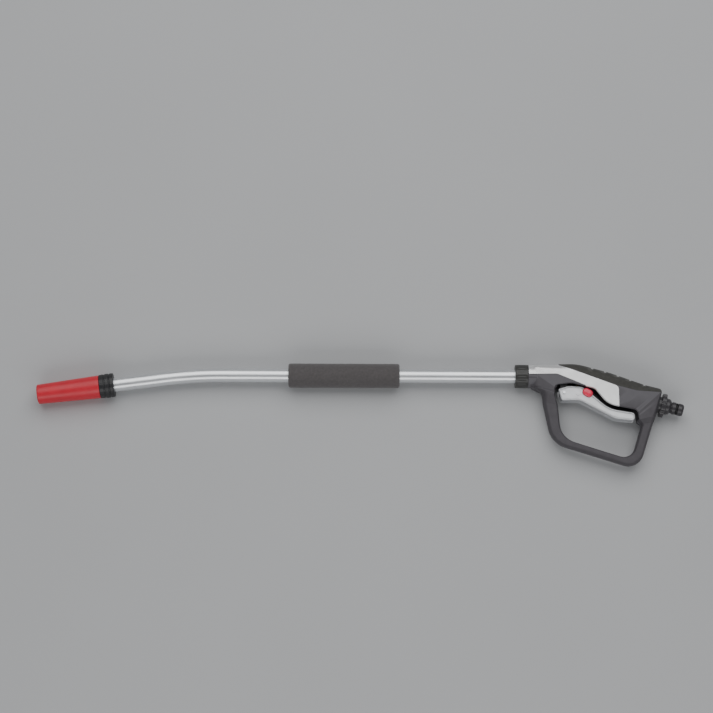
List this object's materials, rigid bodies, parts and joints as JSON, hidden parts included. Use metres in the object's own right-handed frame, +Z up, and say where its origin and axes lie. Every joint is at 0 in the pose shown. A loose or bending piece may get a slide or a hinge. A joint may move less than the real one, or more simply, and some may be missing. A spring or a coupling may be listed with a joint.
{
  "type": "trigger spray lance",
  "caption": "Trigger-handled spray lance: bent aluminium tube with foam grip and twist nozzle, guarded handle with valve, side lock button and angled hose plug.",
  "frame": {"origin": "middle of the footprint, on the surface that the lance lies on", "axes": "+X along the tube towards the hose plug, +Z up across the handle's thickness, +Y towards the handle's back"},
  "size_m": [0.9002, 0.1438, 0.034],
  "materials": {
    "handle_plastic": "fine moulded grain, satin",
    "silver_plastic": "silver-painted, satin gloss",
    "pad_rubber": "soft overmould, matt",
    "nut_plastic": "moulded, slightly glossy",
    "tube_aluminium": "bright drawn tube",
    "grip_foam": "fine closed-cell foam, matt",
    "valve_plastic": "glass-filled nylon",
    "valve_brass": "turned",
    "steel": "bright",
    "seal_rubber": "matt black",
    "trigger_plastic": "silver-painted, glossy",
    "button_plastic": "glossy red",
    "collar_plastic": "moulded black",
    "sleeve_plastic": "moulded red, satin",
    "inlet_plastic": "moulded black, satin"
  },
  "bodies": {
    "handle": {"shell_left": "handle_plastic", "shell_right": "handle_plastic", "trim": "silver_plastic", "back_pad": "pad_rubber", "front_nut": "nut_plastic", "lance_tube": "tube_aluminium", "foam_grip": "grip_foam", "tube_oring": "seal_rubber", "valve_body": "valve_plastic", "valve_cap": "valve_brass", "valve_spring": "steel", "stem_oring": "seal_rubber", "trigger_pin": "steel", "nozzle_collar": "collar_plastic", "nozzle_stem": "valve_plastic", "nozzle_orings": "seal_rubber", "inlet_adapter": "inlet_plastic", "inlet_seal": "seal_rubber", "inlet_oring": "seal_rubber", "inlet_filter": "steel", "shell_screws": "steel"},
    "trigger": {"trigger": "trigger_plastic"},
    "lock": {"lock_button": "button_plastic"},
    "valve": {"valve_stem": "valve_brass", "valve_seal": "seal_rubber"},
    "nozzle": {"nozzle_sleeve": "sleeve_plastic", "nozzle_tip": "collar_plastic"},
    "needle": {"nozzle_needle": "valve_brass"}
  },
  "joints": [
    {"name": "trigger_pull", "type": "hinge", "parent": "handle", "child": "trigger", "pos_m": [0.28288, 0.0301, 0.017], "axis": [0, 0, 1], "range_deg": [0, 8], "stiffness_Nm_per_rad": 3, "springref_deg": -5.73},
    {"name": "lock_slide", "type": "slide", "parent": "trigger", "child": "lock", "axis": [0, 0, -1], "range_m": [0, 0.0026]},
    {"name": "valve_slide", "type": "slide", "parent": "handle", "child": "valve", "axis": [0, 1, 0], "range_m": [0, 0.0028], "deforming": ["valve_spring"]},
    {"name": "nozzle_twist", "type": "hinge", "parent": "handle", "child": "nozzle", "pos_m": [-0.34257, 0.0399, 0.017], "axis": [-0.9914, -0.1305, 0], "range_deg": [0, 180]},
    {"name": "needle_slide", "type": "slide", "parent": "handle", "child": "needle", "axis": [-0.9914, -0.1305, 0], "range_m": [0, 0.0031]}
  ],
  "couplings": [
    {"joint": "valve_slide", "follows": "trigger_pull", "m_per_rad": 0.0194},
    {"joint": "needle_slide", "follows": "nozzle_twist", "m_per_rad": 0.000955}
  ]
}
